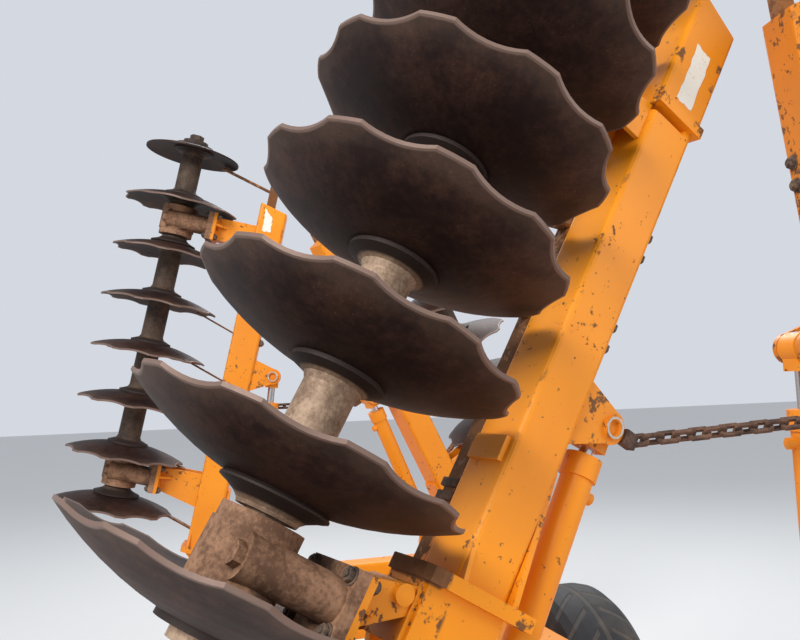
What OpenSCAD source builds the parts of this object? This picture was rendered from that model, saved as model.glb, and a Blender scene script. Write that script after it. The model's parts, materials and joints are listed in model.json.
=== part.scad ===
// Folding tandem disc harrow, drawn folded upright for the road.
// X is forward, Y is to the left and Z is up, in millimetres.
// Each wing is drawn in its working place, flat and level, with its fold pin at the origin,
// X outward along the beam, Y forward along the fold pin and Z up, the beam's top at zero.
// A turn about the fold pin then stands it up.

/* [Layout] */
// Distance between the front and the rear fold pins
hinge_gap = 2510; // [2400:10:2800]
// Distance between the right and the left fold pins
hinge_track = 1220; // [1200:10:1400]
// Height of the fold pins above the ground
hinge_height = 810; // [790:5:850]
// Angle of each gang to a line square to the travel
gang_angle = 12; // [9:1:14]
// Forward shift of the whole machine, which centres its outline
shift_x = -750; // [-900:0.5:-600]
// Sideways shift of the whole machine, which centres its outline
shift_y = -30.8; // [-60:0.1:20]

/* [Wings] */
// Side of the square beam
beam_w = 125; // [100:5:140]
// Radius of the long edges of the square tubes
tube_edge_r = 12; // [6:1:14]
// Length of the tapered strap on the beam's top, from its foot
strap_len = 265; // [150:5:300]
// Angle of the cut across the beam's outer end
end_cut = 14; // [0:1:30]
// Distance from the fold pin to the foot of a rear beam, outward
rear_foot = 100; // [90:5:130]
// Distance from the fold pin to the foot of a front beam, which stands on a hinge frame
front_foot = 492; // [440:2:520]
// Length of the shorter beams, measured from the fold pin
beam_end = 1670; // [1600:10:1700]
// Length of the beam that has an extension
long_beam_end = 1900; // [1850:10:1950]
// Distance from the gang's shaft up to the beam's underside
gang_drop = 353; // [345:1:380]

/* [Gangs] */
// Radius of a front disc
front_disc_r = 305; // [290:1:310]
// Radius of a rear disc
rear_disc_r = 255; // [240:1:280]
// Radius of the small disc at a rear gang's outer end
end_disc_r = 211; // [180:1:230]
// Radius of the ball that the discs are dished to
dish_r = 620; // [580:5:700]
// Thickness of a disc
disc_t = 7; // [6:0.5:8]
// Distance from disc to disc
disc_pitch = 228.6; // [220:0.1:235]
// Distance from the fold pin to the innermost disc
first_disc = 250; // [240:5:270]
// Number of scallops round a disc
scallops = 10; // [8:1:14]
// Depth of a scallop
scallop_depth = 15; // [8:1:18]
// Radius of a scallop's hollow
scallop_r = 240; // [80:10:300]
// Radius of a spool between two discs
spool_r = 49; // [44:1:54]

/* [Fold rams] */
// Distance from the fold pin inward to the ram's lower pin
ram_base_in = 190; // [180:5:220]
// Distance from the fold pin up to the ram's lower pin
ram_base_up = 75; // [70:1:90]
// Distance from the fold pin to the ram's upper pin, along the beam
ram_eye_along = 900; // [880:5:920]
// Height of the ram's upper pin over the beam
ram_eye_over = 90; // [85:5:100]
// Radius of a ram's barrel
ram_r = 34; // [30:1:36]
// Radius of a ram's rod
ram_rod_r = 16; // [14:1:20]

/* [Chassis] */
// Side of the chassis cross members
cross_w = 125; // [100:5:130]
// Distance from a chassis rail to the centre line
rail_y = 330; // [320:5:340]
// Width of a chassis rail
rail_w = 100; // [80:5:110]
// Height of a chassis rail
rail_h = 125; // [100:5:130]
// Length of the drawbar, from the front cross member to the hitch eye
drawbar_len = 1780; // [1600:10:1900]

/* [Wheels] */
// Radius of a tyre
tyre_r = 422; // [410:1:430]
// Width of a tyre
tyre_w = 290; // [260:5:300]
// Distance from a wheel's middle to the centre line
wheel_y = 590; // [580:5:620]
// Distance from the wheel shaft back to the wheel's axle
wheel_back = 450; // [430:5:470]

/* [Hidden] */

// Colours
paint = "orange";
worn_paint = "darkorange";
rust = "sienna";
dark_rust = "saddlebrown";
steel = "silver";
rubber_black = "dimgray";

// One wing per row: end is 1 in front and -1 behind, side is 1 on the left and -1 on the
// right, lean is the angle past upright, length is the beam's outer end, foot is its inner end.
END = 0;
SIDE = 1;
LEAN = 2;
LENGTH = 3;
FOOT = 4;
FRONT_RIGHT = [1, -1, 31, long_beam_end, front_foot];
FRONT_LEFT = [1, 1, 8, beam_end, front_foot];
REAR_RIGHT = [-1, -1, 13, beam_end, rear_foot];
REAR_LEFT = [-1, 1, 28, beam_end, rear_foot];

fine = 64;
plain = 32;
play = 0.05;
gap = 6;
seat = 0.3;
eps = 0.5;

// Wing
gang_z = -beam_w - gang_drop;
disc_count = 8;
// Gaps between discs that hold a bearing, counted outward from the innermost one
bearing_gaps = [0, 5];
pin_r = 20;
lug_r = 36;
lug_half = 40;
lug_root = 108;
cheek_y = 54.5;
cheek_t = 16;
lug_lift = 9;
foot_t = 28;
foot_half = 80;
foot_low = -beam_w - 66;
foot_high = 60;
foot_notch = 50;
frame_low = -beam_w - 50;
frame_floor_t = 12;
frame_start = 345;
frame_pin_u = 425;
strap_t = 12;
slot_u = 1560;
slot_w = 14;
extension_over = 7;
eye_half = 30;
eye_r = 36;
ear_t = 14;
ear_y = eye_half + gap;
ear_r = 35;
ear_top = ram_eye_over + ear_r;
chain_far_u = 745;
scraper_bar_w = 40;
chain_far_y = beam_w / 2 + 21;
chain_far_z = 40;

// Gang
shaft_r = 19;
disc_bore_r = 21;
washer_r = 88;
washer_t = 14;
flat_r = 95;
journal_r = 35;
housing_r = 78;
housing_len = 134;
cap_r = 74;
cap_len = 26;
bell_r = 100;
leg_r = 40;
leg_y = 62;
leg_end = -38;
flange_z = 168;
flange_t = 24;
flange_y = 108;
arm_near = 38;
arm_far = 50;

// Wing ram
ram_pin_r = 15;
gland_r = 39;
gland_len = 46;
base_eye_r = 32;
base_eye_half = 24;
base_ear_y = base_eye_half + gap;
neck_end = 62;
neck_r = base_eye_half - 3;

function flat_sag() = dish_r - sqrt(dish_r * dish_r - flat_r * flat_r);
function sag(r) = dish_r - sqrt(dish_r * dish_r - r * r) - flat_sag();
function disc_u(i) = first_disc + i * disc_pitch;
function bearing_u(i) = disc_u(i) + disc_pitch / 2;
function disc_r(wing, i) =
    wing[END] > 0 ? front_disc_r : (i == disc_count - 1 ? end_disc_r : rear_disc_r);

// A wing's own [along, up] seen from the fold pin once it is folded, as [inward, up]
function lean_over(lean, u, z) = [u * sin(lean) + z * cos(lean), u * cos(lean) - z * sin(lean)];

// A point of a folded wing, in the machine's own axes
function wing_point(wing, u, y, z) =
    let (at = lean_over(wing[LEAN], u, z), s = wing[END] * sin(gang_angle), c = cos(gang_angle))
    [
        wing[END] * hinge_gap / 2 - s * at[0] + c * y,
        wing[SIDE] * (hinge_track / 2 - c * at[0] - s * y),
        hinge_height + at[1]
    ];

function ram_run(lean) = lean_over(lean, ram_eye_along, ram_eye_over)[0] - ram_base_in;
function ram_rise(lean) = lean_over(lean, ram_eye_along, ram_eye_over)[1] - ram_base_up;
function ram_length(lean) = sqrt(pow(ram_run(lean), 2) + pow(ram_rise(lean), 2));
function ram_angle(lean) = atan2(ram_rise(lean), -ram_run(lean));
closed_ram = ram_length(31);
barrel_end = closed_ram - 68;

// Chassis
deck_drop = 87.5;
deck_z = hinge_height - deck_drop;
cross_x = hinge_gap / 2;
cross_half = hinge_track / 2 - 90;
deck_top = cross_w / 2 - deck_drop;
deck_bottom = -cross_w / 2 - deck_drop;

// Wheel lift
pivot_x = 250;
pivot_drop = 60;
pivot_z = deck_z - rail_h / 2 - pivot_drop;
wheel_shaft_r = 50;
arm_y = 410;
arm_t = 26;
stub_r = 30;
lever_len = 260;
lever_angle = 100;
lift_base_x = 1035;
lift_base_z = deck_z + 110;
lift_run = lift_base_x - pivot_x - lever_len * cos(lever_angle);
lift_rise = lift_base_z - pivot_z - lever_len * sin(lever_angle);
lift_length = sqrt(lift_run * lift_run + lift_rise * lift_rise);
lift_tilt = atan2(lift_rise, lift_run);
lift_barrel_end = 610;

// Wheel
rim_r = 205;
hub_r = 62;

// Drawbar
hitch_z = 480;
hitch_r = 26;
nose_x = cross_x + drawbar_len;
nose_back = nose_x - 290;
jack_x = nose_x - 200;
jack_y = 110;

// Chain
link_pitch = 33;
link_wire = 8;

// From the machine's own middle to the shared origin
module machine() {
    translate([shift_x, shift_y, 0]) children();
}

// From a wing's fold pin to the machine, not yet folded
module at_hinge(wing) {
    machine()
    mirror([0, wing[SIDE] > 0 ? 1 : 0, 0])
    translate([wing[END] * hinge_gap / 2, -hinge_track / 2, hinge_height])
    rotate([0, 0, -90 + wing[END] * gang_angle])
    children();
}

// From a wing's working place to its folded place
module folded(wing) {
    at_hinge(wing)
    rotate([0, -(90 + wing[LEAN]), 0])
    children();
}

// From a ram lying along X, with its lower pin at the origin, to its place
module at_ram(wing) {
    at_hinge(wing)
    translate([-ram_base_in, 0, ram_base_up])
    rotate([0, -ram_angle(wing[LEAN]), 0])
    children();
}

module box(x, y, z) {
    translate([x[0], y[0], z[0]]) cube([x[1] - x[0], y[1] - y[0], z[1] - z[0]]);
}

// Cylinder along X
module bar_x(r, x0, x1) {
    translate([x0, 0, 0]) rotate([0, 90, 0]) cylinder(r = r, h = x1 - x0, $fn = fine);
}

// Cylinder along Y, centred
module bar_y(r, half) {
    rotate([90, 0, 0]) cylinder(r = r, h = 2 * half, center = true, $fn = fine);
}

// Plate square to Y, from a list of [x, z] points
module plate_y(points, y0, y1) {
    translate([0, y1, 0]) rotate([90, 0, 0]) linear_extrude(y1 - y0) polygon(points);
}

// One rounded corner of a tube's outline, in three short steps
function tube_corner(y, z, turn) = [
    for (k = [0:3])
        [y + tube_edge_r * cos(turn + 30 * k), z + tube_edge_r * sin(turn + 30 * k)]
];

// Square tube along X, its middle on the axis
module tube_x(x, w, h) {
    y = w / 2 - tube_edge_r;
    z = h / 2 - tube_edge_r;
    translate([x[0], 0, 0])
    rotate([90, 0, 90])
    linear_extrude(x[1] - x[0])
    polygon(concat(
        tube_corner(y, z, 0), tube_corner(-y, z, 90),
        tube_corner(-y, -z, 180), tube_corner(y, -z, 270)
    ));
}

// The same thing on both sides of the XZ plane
module both_sides() {
    for (side = [0, 1]) mirror([0, side, 0]) children();
}

// Wings

// Plate across the foot of a beam, its inner face at x = 0
module foot_plate(low, high) {
    difference() {
        rotate([90, 0, 90])
        linear_extrude(foot_t)
        polygon([
            [-foot_half, high], [-foot_half, low + 26], [-foot_half + 7, low + 9],
            [-foot_half + 24, low], [foot_half - 24, low], [foot_half - 7, low + 9],
            [foot_half, low + 26], [foot_half, high]
        ]);
        // Notch that the ram passes
        if (high > strap_t)
            box([-1, foot_t + 1], [-foot_notch, foot_notch], [strap_t, high + 1]);
    }
}

// Side plate of the hinge, from the fold pin to the foot plate
module hinge_cheek(wing) {
    inner = wing[FOOT] - foot_t;
    translate([0, cheek_y, 0]) bar_y(lug_r, cheek_t / 2);
    plate_y(
        inner > 200
            ? [
                [-10, -lug_r + 2], [-10, lug_r - 2], [20, lug_r - 6], [inner + 1, 4],
                [inner + 1, frame_low], [frame_start, frame_low], [90, -80]
            ]
            : [[-10, -lug_r + 2], [-10, lug_r - 2], [20, lug_r - 6], [inner + 1, strap_t], [inner + 1, -beam_w]],
        cheek_y - cheek_t / 2, cheek_y + cheek_t / 2
    );
}

// Ear for the ram's upper pin, with the pin's hollow end
module eye_ear() {
    plate_y(
        [
            [ram_eye_along - 85, -3], [ram_eye_along + 60, -3],
            [ram_eye_along + 35, ram_eye_over], [ram_eye_along - 35, ram_eye_over]
        ],
        ear_y, ear_y + ear_t
    );
    translate([ram_eye_along, ear_y + ear_t / 2, ram_eye_over]) {
        bar_y(ear_r, ear_t / 2);
        translate([0, 5, 0])
        difference() {
            bar_y(24, ear_t / 2 + 5);
            translate([0, ear_t / 2 + 5, 0]) bar_y(16, 14);
        }
    }
}

// Extension of the long beam, which starts at a slot
module extension(end) {
    start = slot_u + slot_w;
    wide = beam_w + 2 * extension_over;
    translate([0, 0, -beam_w / 2]) tube_x([start, end], wide, wide);
    box([start, start + 26], [-beam_w / 2 - 14, beam_w / 2 + 14], [-beam_w - 4, 10]);
}

module wing_beam(wing) {
    end = wing[LENGTH];
    foot = wing[FOOT];
    framed = foot > rear_foot;
    side = beam_w / 2;
    color(paint) folded(wing)
    difference() {
        union() {
            translate([0, 0, -side]) tube_x([foot - eps, end], beam_w, beam_w);
            translate([foot - foot_t, 0, 0])
            foot_plate(framed ? foot_low : -beam_w - 20, framed ? foot_high : strap_t);
            // Floor of the hinge frame
            if (framed)
                box(
                    [frame_start, foot - foot_t + 1],
                    [-cheek_y, cheek_y],
                    [frame_low - frame_floor_t + 2, frame_low + 2]
                );
            // Strap on the top, which tapers outward
            translate([0, 0, -1])
            linear_extrude(strap_t + 1)
            polygon([
                [foot - 2, -foot_half + 2], [foot + strap_len, -side + 20],
                [foot + strap_len, side - 20], [foot - 2, foot_half - 2]
            ]);
            both_sides() {
                hinge_cheek(wing);
                eye_ear();
                // Gusset fins at the foot
                translate([0, 0, -beam_w + 3])
                linear_extrude(10)
                polygon([[foot - 2, side - 2], [foot - 2, foot_half - 3], [foot + 70, side - 2]]);
            }
            // Fold pin
            bar_y(pin_r, cheek_y + cheek_t);
            // Rib across the side that faces the gang
            box([715, 765], [-side + 14, side - 14], [-beam_w - 12, -beam_w + 2]);
            if (end > beam_end) extension(end);
        }
        if (end > beam_end)
            box([slot_u, slot_u + slot_w + eps], [side - 34, side * 2], [-beam_w * 2, -26]);
        // Angled outer end
        translate([end, 0, -beam_w - 8])
        rotate([0, -end_cut, 0])
        box([0, beam_w * 2], [-beam_w, beam_w], [-beam_w, beam_w * 3]);
    }
}

// Outline of a hanger arm in its own [along, up], from the beam down to the bearing's flange.
// The side towards the disc that bulges past the arm stands clear of its rim, and the other side
// ends short of the beam's extension.
function arm_outline(wing, i, top, low) =
    let (
        r = disc_r(wing, 0),
        near = sag(r) + disc_t / 2 + 12 - disc_pitch / 2,
        far = min(95, slot_u + slot_w - 2 - bearing_u(i))
    )
    bearing_u(i) < wing[FOOT]
        ? [[30, top], [84, top], [54, low], [-48, low]]
        : [[near, top], [far, top], [48, low], [-48, low], [near, gang_z + r]];

module wing_arms(wing) {
    low = gang_z + flange_z + seat;
    color(paint) folded(wing)
    for (i = bearing_gaps) translate([bearing_u(i), 0, 0]) {
        framed = bearing_u(i) < wing[FOOT];
        top = (framed ? frame_low - frame_floor_t + 2 : -beam_w) - seat;
        outline = arm_outline(wing, i, top, low);
        mirror([wing[END] > 0 ? 0 : 1, 0, 0]) {
            both_sides() plate_y(outline, arm_near, arm_far);
            // Web between the two sides
            plate_y(
                [outline[1] - [10, 0], outline[1], outline[2], outline[2] - [10, 0]],
                -arm_near - 1, arm_near + 1
            );
        }
        // Cross pin in the arm's nose
        if (framed)
            translate([frame_pin_u - bearing_u(i), 0, top - 22]) bar_y(19, arm_far + 8);
        box([-62, 62], [-arm_far - 12, flange_y], [low, low + 14]);
        // Rib from the foot's long side up to the arm
        translate([5, 0, 0])
        rotate([90, 0, 90])
        linear_extrude(10)
        polygon([[arm_far - 1, low + 13], [flange_y - 6, low + 13], [arm_far - 1, low + 66]]);
    }
}

module wing_bearings(wing) {
    color(rust) folded(wing)
    for (i = bearing_gaps)
    translate([bearing_u(i), 0, gang_z])
    mirror([wing[END] > 0 ? 0 : 1, 0, 0])
    difference() {
        union() {
            // Barrel and cap ring
            bar_x(housing_r, -housing_len / 2, housing_len / 2 - cap_len);
            bar_x(cap_r, 0, housing_len / 2);
            // Leg, which passes the barrel on one side, with its bolt's head
            translate([0, leg_y, leg_end]) {
                cylinder(r = leg_r, h = flange_z - leg_end - 4, $fn = fine);
                translate([0, 12, -16]) cylinder(r = 21, h = 17, $fn = 6);
            }
            // Neck on the axis
            cylinder(r = 34, h = flange_z - 4, $fn = fine);
            box([-62, 62], [-arm_far - 12, flange_y], [flange_z - flange_t, flange_z]);
        }
        bar_x(journal_r + play, -housing_len, housing_len);
    }
}

// Blade of one scraper, for a disc hollow towards +X with its middle at the origin
module scraper(r) {
    y_in = -beam_w / 2 - 18;
    y_out = -beam_w / 2 - 54;
    t = 8;
    low = 0.62 * r;
    high = sqrt(r * r - y_out * y_out);
    low_u = sag(sqrt(low * low + y_out * y_out)) + disc_t / 2 + t / 2 + 8;
    high_u = sag(r) + disc_t / 2 + t / 2 + 8;
    slope = (high_u - low_u) / (high - low);
    top = gang_drop + 50;
    plate_y(
        [
            [low_u - t / 2, low], [low_u + t / 2, low],
            [low_u + t / 2 + slope * (top - low), top], [low_u - t / 2 + slope * (top - low), top]
        ],
        y_out, y_in
    );
}

module wing_scrapers(wing) {
    y1 = -foot_half - seat;
    y0 = y1 - scraper_bar_w;
    z0 = -beam_w + 16;
    hollow = wing[END];
    color(worn_paint) folded(wing) {
        box(
            [first_disc - (hollow > 0 ? 40 : 130), disc_u(disc_count - 1) + (hollow > 0 ? 140 : -15)],
            [y0, y1], [z0, z0 + scraper_bar_w]
        );
        for (u = [first_disc + 30, 880, disc_u(5)])
            box([u - 25, u + 25], [y1 - eps, -beam_w / 2 - seat], [z0 + 4, z0 + 36]);
        for (i = [0:disc_count - 1])
            translate([disc_u(i), 0, gang_z])
            mirror([hollow > 0 ? 0 : 1, 0, 0])
            scraper(disc_r(wing, i));
    }
}

// A dished disc on the X axis, hollow towards +X
module disc(r, cut) {
    rings = 6;
    step = (r - flat_r) / rings;
    back = [for (k = [0:rings]) [flat_r + k * step, sag(flat_r + k * step) - disc_t / 2]];
    front = [for (k = [rings:-1:0]) [flat_r + k * step, sag(flat_r + k * step) + disc_t / 2]];
    outline = concat([[disc_bore_r, -disc_t / 2]], back, front, [[disc_bore_r, disc_t / 2]]);
    rotate([0, 90, 0])
    difference() {
        rotate_extrude($fn = fine) polygon(outline);
        if (cut)
            for (k = [0:scallops - 1])
                rotate([0, 0, (k + 0.5) * 360 / scallops])
                translate([r + scallop_r - scallop_depth, 0, 0])
                cylinder(r = scallop_r, h = 300, center = true, $fn = fine);
    }
}

module gang_discs(wing) {
    color(dark_rust) folded(wing)
    for (i = [0:disc_count - 1])
        translate([disc_u(i), 0, gang_z])
        mirror([wing[END] > 0 ? 0 : 1, 0, 0])
        rotate([i * 11, 0, 0])
        disc(disc_r(wing, i), disc_r(wing, i) != end_disc_r);
}

// Half of a spool, from a disc's face at x = 0 towards +X
module spool_half(length) {
    rotate([0, 90, 0])
    rotate_extrude($fn = fine)
    polygon([
        [0, 0], [washer_r, 0], [washer_r, washer_t * 0.6], [washer_r - 14, washer_t],
        [spool_r + 6, washer_t + 8], [spool_r, washer_t + 20], [spool_r, length], [0, length]
    ]);
}

// Bell between a disc and a bearing, from the disc's face at x = 0 towards +X
module bell(length) {
    rotate([0, 90, 0])
    rotate_extrude($fn = fine)
    polygon([
        [0, 0], [bell_r - 5, 0], [bell_r, 5], [bell_r, 9], [bell_r - 7, 12],
        [bell_r - 16, 15], [66, 24], [58, 31], [55, length], [0, length]
    ]);
}

module gang_piece(held, length) {
    if (held) bell(length);
    else spool_half(length);
}

module end_cap() {
    bar_x(washer_r, 0, 12);
    bar_x(56, 0, 34);
    rotate([0, 90, 0]) cylinder(r = 32, h = 62, $fn = 6);
}

module gang_spools(wing) {
    half = disc_t / 2;
    space = disc_pitch - disc_t;
    stub = (space - housing_len) / 2 - gap;
    color(rust) folded(wing)
    translate([0, 0, gang_z]) {
        bar_x(shaft_r, first_disc - 40, disc_u(disc_count - 1) + 40);
        for (i = [0:disc_count - 2]) {
            held = len([for (b = bearing_gaps) if (b == i) b]) > 0;
            length = held ? stub : space / 2 + eps;
            translate([disc_u(i) + half, 0, 0]) {
                gang_piece(held, length);
                if (held) bar_x(journal_r, 0, space);
                translate([space, 0, 0]) mirror([1, 0, 0]) gang_piece(held, length);
            }
        }
        translate([first_disc - half, 0, 0]) mirror([1, 0, 0]) end_cap();
        translate([disc_u(disc_count - 1) + half, 0, 0]) end_cap();
    }
}

// Rams

module wing_barrel(wing) {
    color(paint) at_ram(wing)
    difference() {
        union() {
            bar_y(base_eye_r, base_eye_half);
            bar_x(neck_r, 20, neck_end + 4);
            bar_x(ram_r, neck_end, barrel_end);
            bar_x(gland_r, barrel_end - gland_len, barrel_end);
            for (x = [110, barrel_end - 72])
                translate([x, 0, 0]) cylinder(r = 13, h = ram_r + 16, $fn = plain);
        }
        bar_y(ram_pin_r + play, base_eye_half + 1);
        bar_x(ram_r - 7, neck_end + 20, barrel_end - gland_len);
        bar_x(ram_rod_r + play, barrel_end - gland_len - 1, barrel_end + 1);
    }
}

module wing_rod(wing) {
    color(steel) at_ram(wing)
    translate([ram_length(wing[LEAN]), 0, 0])
    difference() {
        union() {
            bar_y(eye_r, eye_half);
            box([-50, 0], [-26, 26], [-28, 28]);
            bar_x(ram_rod_r, neck_end + 36 - closed_ram, -30);
            bar_x(ram_r - 7.5, neck_end + 26 - closed_ram, neck_end + 56 - closed_ram);
        }
        bar_y(18, eye_half + 1);
    }
}

// Chassis

module rail(side) {
    color(paint) machine()
    mirror([0, side > 0 ? 0 : 1, 0])
    difference() {
        union() {
            translate([0, rail_y, deck_z])
            tube_x([-cross_x + cross_w / 2, cross_x - cross_w / 2], rail_w, rail_h);
            // Bearing block for the wheel shaft
            translate([pivot_x, rail_y, pivot_z]) {
                bar_y(74, rail_w / 2 - 5);
                box([-74, 74], [-rail_w / 2 + 5, rail_w / 2 - 5], [0, pivot_drop + 5]);
            }
        }
        translate([pivot_x, rail_y, pivot_z]) bar_y(wheel_shaft_r + play, rail_w);
    }
}

module middle_cross() {
    color(paint) machine()
    box(
        [-560, -460],
        [-rail_y + rail_w / 2, rail_y - rail_w / 2],
        [deck_z - 50, deck_z + 50]
    );
}

// Lug that carries a wing's fold pin, and ears for its ram's lower pin
module hinge_bracket(wing) {
    at_hinge(wing) {
        difference() {
            union() {
                bar_y(lug_r, lug_half);
                plate_y(
                    [
                        [-30, 18], [4, -34], [-30, deck_bottom + lug_lift],
                        [-lug_root, deck_bottom + lug_lift], [-lug_root, deck_top - 3]
                    ],
                    -lug_half, lug_half
                );
            }
            bar_y(pin_r + play, lug_half + 1);
        }
        translate([-ram_base_in, 0, 0]) {
            // Base plate, let into the cross member
            box(
                [-46, 64],
                [-base_ear_y - ear_t - 4, base_ear_y + ear_t + 4],
                [deck_top - 3, deck_top + ear_t - 3]
            );
            both_sides()
                plate_y(
                    [
                        [-42, deck_top + ear_t - 5], [58, deck_top + ear_t - 5],
                        [30, ram_base_up + 28], [-30, ram_base_up + 28]
                    ],
                    base_ear_y, base_ear_y + ear_t
                );
            translate([0, 0, ram_base_up]) bar_y(ram_pin_r, base_ear_y + ear_t + 8);
        }
    }
}

module cross_member(end) {
    machine()
    translate([end * cross_x, 0, deck_z])
    rotate([0, 0, 90])
    tube_x([-cross_half, cross_half], cross_w, cross_w);
}

module front_cross() {
    color(paint) {
        cross_member(1);
        hinge_bracket(FRONT_RIGHT);
        hinge_bracket(FRONT_LEFT);
        // Ears for the lift ram
        machine()
        translate([lift_base_x, 0, lift_base_z]) {
            both_sides()
                plate_y(
                    [[-42, -30], [-20, 40], [40, 40], [158, -50], [158, -172]],
                    base_ear_y, base_ear_y + ear_t
                );
            bar_y(ram_pin_r, base_ear_y + ear_t + 8);
        }
    }
}

module rear_cross() {
    color(paint) {
        cross_member(-1);
        hinge_bracket(REAR_RIGHT);
        hinge_bracket(REAR_LEFT);
    }
}

module drawbar_arm(side) {
    start = cross_x + cross_w / 2;
    run = nose_back - start;
    spread = rail_y - 66;
    drop = deck_z - hitch_z;
    reach = sqrt(run * run + spread * spread);
    color(paint) machine()
    mirror([0, side > 0 ? 0 : 1, 0])
    difference() {
        translate([start, rail_y, deck_z])
        rotate([0, 0, -atan2(spread, run)])
        rotate([0, atan2(drop, reach), 0])
        tube_x([-100, reach * 1.1], 90, 100);
        box([start - 300, start], [-900, 900], [0, 2000]);
        box([nose_back, nose_x + 300], [-900, 900], [0, 2000]);
    }
}

module drawbar_nose() {
    color(paint) machine() {
        box([nose_back, nose_back + 14], [-140, 140], [hitch_z - 75, hitch_z + 75]);
        box([nose_back + 13, nose_x - 118], [-60, 60], [hitch_z - 50, hitch_z + 50]);
        both_sides()
            translate([0, 0, hitch_z - 6])
            linear_extrude(12)
            polygon([[nose_back + 13, 59], [nose_back + 13, 138], [nose_x - 240, 59]]);
    }
}

module hitch_eye() {
    color(rust) machine()
    translate([nose_x, 0, hitch_z])
    difference() {
        union() {
            cylinder(r = 62, h = 44, center = true, $fn = fine);
            box([-118, -20], [-45, 45], [-22, 22]);
        }
        cylinder(r = hitch_r, h = 60, center = true, $fn = fine);
    }
}

module jack_tube() {
    color(paint) machine()
    translate([jack_x, jack_y, 0])
    difference() {
        union() {
            translate([0, 0, 300]) cylinder(r = 36, h = 420, $fn = fine);
            box([-34, 34], [60 - jack_y, -20], [hitch_z - 36, hitch_z + 36]);
            translate([0, 0, 700]) cylinder(r = 43, h = 30, $fn = fine);
            translate([0, 0, 738]) rotate([0, 90, 0]) cylinder(r = 9, h = 120, $fn = plain);
            translate([0, 0, 720]) cylinder(r = 16, h = 30, $fn = plain);
            translate([112, 0, 735]) cylinder(r = 12, h = 90, $fn = plain);
        }
        translate([0, 0, 290]) cylinder(r = 30 + play, h = 400, $fn = fine);
    }
}

module jack_leg() {
    color(steel) machine()
    translate([jack_x, jack_y, 0]) {
        translate([0, 0, 12]) cylinder(r = 30, h = 508, $fn = fine);
        cylinder(r = 85, h = 14, $fn = fine);
    }
}

module wheel_shaft() {
    color(paint) machine()
    translate([pivot_x, 0, pivot_z]) {
        bar_y(wheel_shaft_r, arm_y - arm_t / 2);
        // Lever for the lift ram
        rotate([0, -lever_angle, 0])
        both_sides() {
            plate_y(
                [
                    [0, -62], [0, 62], [lever_len, 32], [lever_len + 28, 16],
                    [lever_len + 28, -16], [lever_len, -32]
                ],
                ear_y, ear_y + 16
            );
            translate([lever_len, ear_y + 14, 0]) bar_y(22, 14);
        }
    }
}

module wheel_arm(side) {
    drop = pivot_z - tyre_r;
    stub_len = wheel_y - arm_y + 70;
    color(paint) machine()
    mirror([0, side > 0 ? 0 : 1, 0])
    translate([pivot_x, arm_y, pivot_z]) {
        bar_y(72, arm_t / 2);
        plate_y(
            [[10, 66], [-wheel_back, -drop + 52], [-wheel_back, -drop - 52], [10, -66]],
            -arm_t / 2, arm_t / 2
        );
        translate([-wheel_back, 0, -drop]) {
            bar_y(54, arm_t / 2);
            translate([0, stub_len / 2, 0]) bar_y(stub_r, stub_len / 2);
        }
    }
}

module at_lift() {
    machine()
    translate([lift_base_x, 0, lift_base_z])
    rotate([0, 180 - lift_tilt, 0])
    children();
}

module lift_barrel() {
    color(paint) at_lift()
    difference() {
        union() {
            bar_y(base_eye_r + 4, base_eye_half);
            bar_x(neck_r, 22, neck_end + 4);
            bar_x(42, neck_end, lift_barrel_end);
            bar_x(47, lift_barrel_end - gland_len, lift_barrel_end);
            for (x = [110, lift_barrel_end - 74])
                translate([x, 0, 0]) mirror([0, 0, 1]) cylinder(r = 13, h = 60, $fn = plain);
        }
        bar_y(ram_pin_r + play, base_eye_half + 1);
        bar_x(34, neck_end + 20, lift_barrel_end - gland_len);
        bar_x(22 + play, lift_barrel_end - gland_len - 1, lift_barrel_end + 1);
    }
}

module lift_rod() {
    color(steel) at_lift()
    translate([lift_length, 0, 0])
    difference() {
        union() {
            bar_y(eye_r, eye_half);
            box([-50, 0], [-26, 26], [-28, 28]);
            bar_x(22, 260 - lift_length, -30);
            bar_x(33.5, 240 - lift_length, 280 - lift_length);
        }
        bar_y(18, eye_half + 1);
    }
}

module at_wheel(side) {
    machine()
    mirror([0, side > 0 ? 0 : 1, 0])
    translate([pivot_x - wheel_back, wheel_y, tyre_r])
    children();
}

module rim(side) {
    well = rim_r - 22;
    color(rust) at_wheel(side)
    rotate([-90, 0, 0])
    difference() {
        union() {
            rotate_extrude($fn = fine)
            polygon([
                [rim_r - 8, -118], [rim_r, -118], [rim_r, -70], [well + 6, -50], [well + 6, 50],
                [rim_r, 70], [rim_r, 118], [rim_r - 8, 118], [rim_r - 8, 72], [well - 4, 52],
                [well - 4, -52], [rim_r - 8, -72]
            ]);
            translate([0, 0, 20]) cylinder(r = well + 1, h = 12, $fn = fine);
            translate([0, 0, -90]) cylinder(r = hub_r, h = 145, $fn = fine);
            translate([0, 0, 50]) cylinder(r = 44, h = 40, $fn = fine);
        }
        translate([0, 0, -200]) cylinder(r = stub_r + play, h = 275, $fn = fine);
    }
}

module tyre(side) {
    half = tyre_w / 2;
    color(rubber_black) at_wheel(side)
    rotate([-90, 0, 0])
    rotate_extrude($fn = fine)
    polygon([
        [rim_r, -118], [rim_r + 20, -128], [rim_r + 90, -half], [tyre_r - 70, -half],
        [tyre_r - 30, -half + 14], [tyre_r - 8, -half + 40], [tyre_r, -half + 75],
        [tyre_r, half - 75], [tyre_r - 8, half - 40], [tyre_r - 30, half - 14],
        [tyre_r - 70, half], [rim_r + 90, half], [rim_r + 20, 128], [rim_r, 118],
        [rim_r, 90], [rim_r + 24, 90], [rim_r + 90, 118], [tyre_r - 60, 116],
        [tyre_r - 22, 60], [tyre_r - 22, -60], [tyre_r - 60, -116], [rim_r + 90, -118],
        [rim_r + 24, -90], [rim_r, -90]
    ]);
}

// Chains

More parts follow.
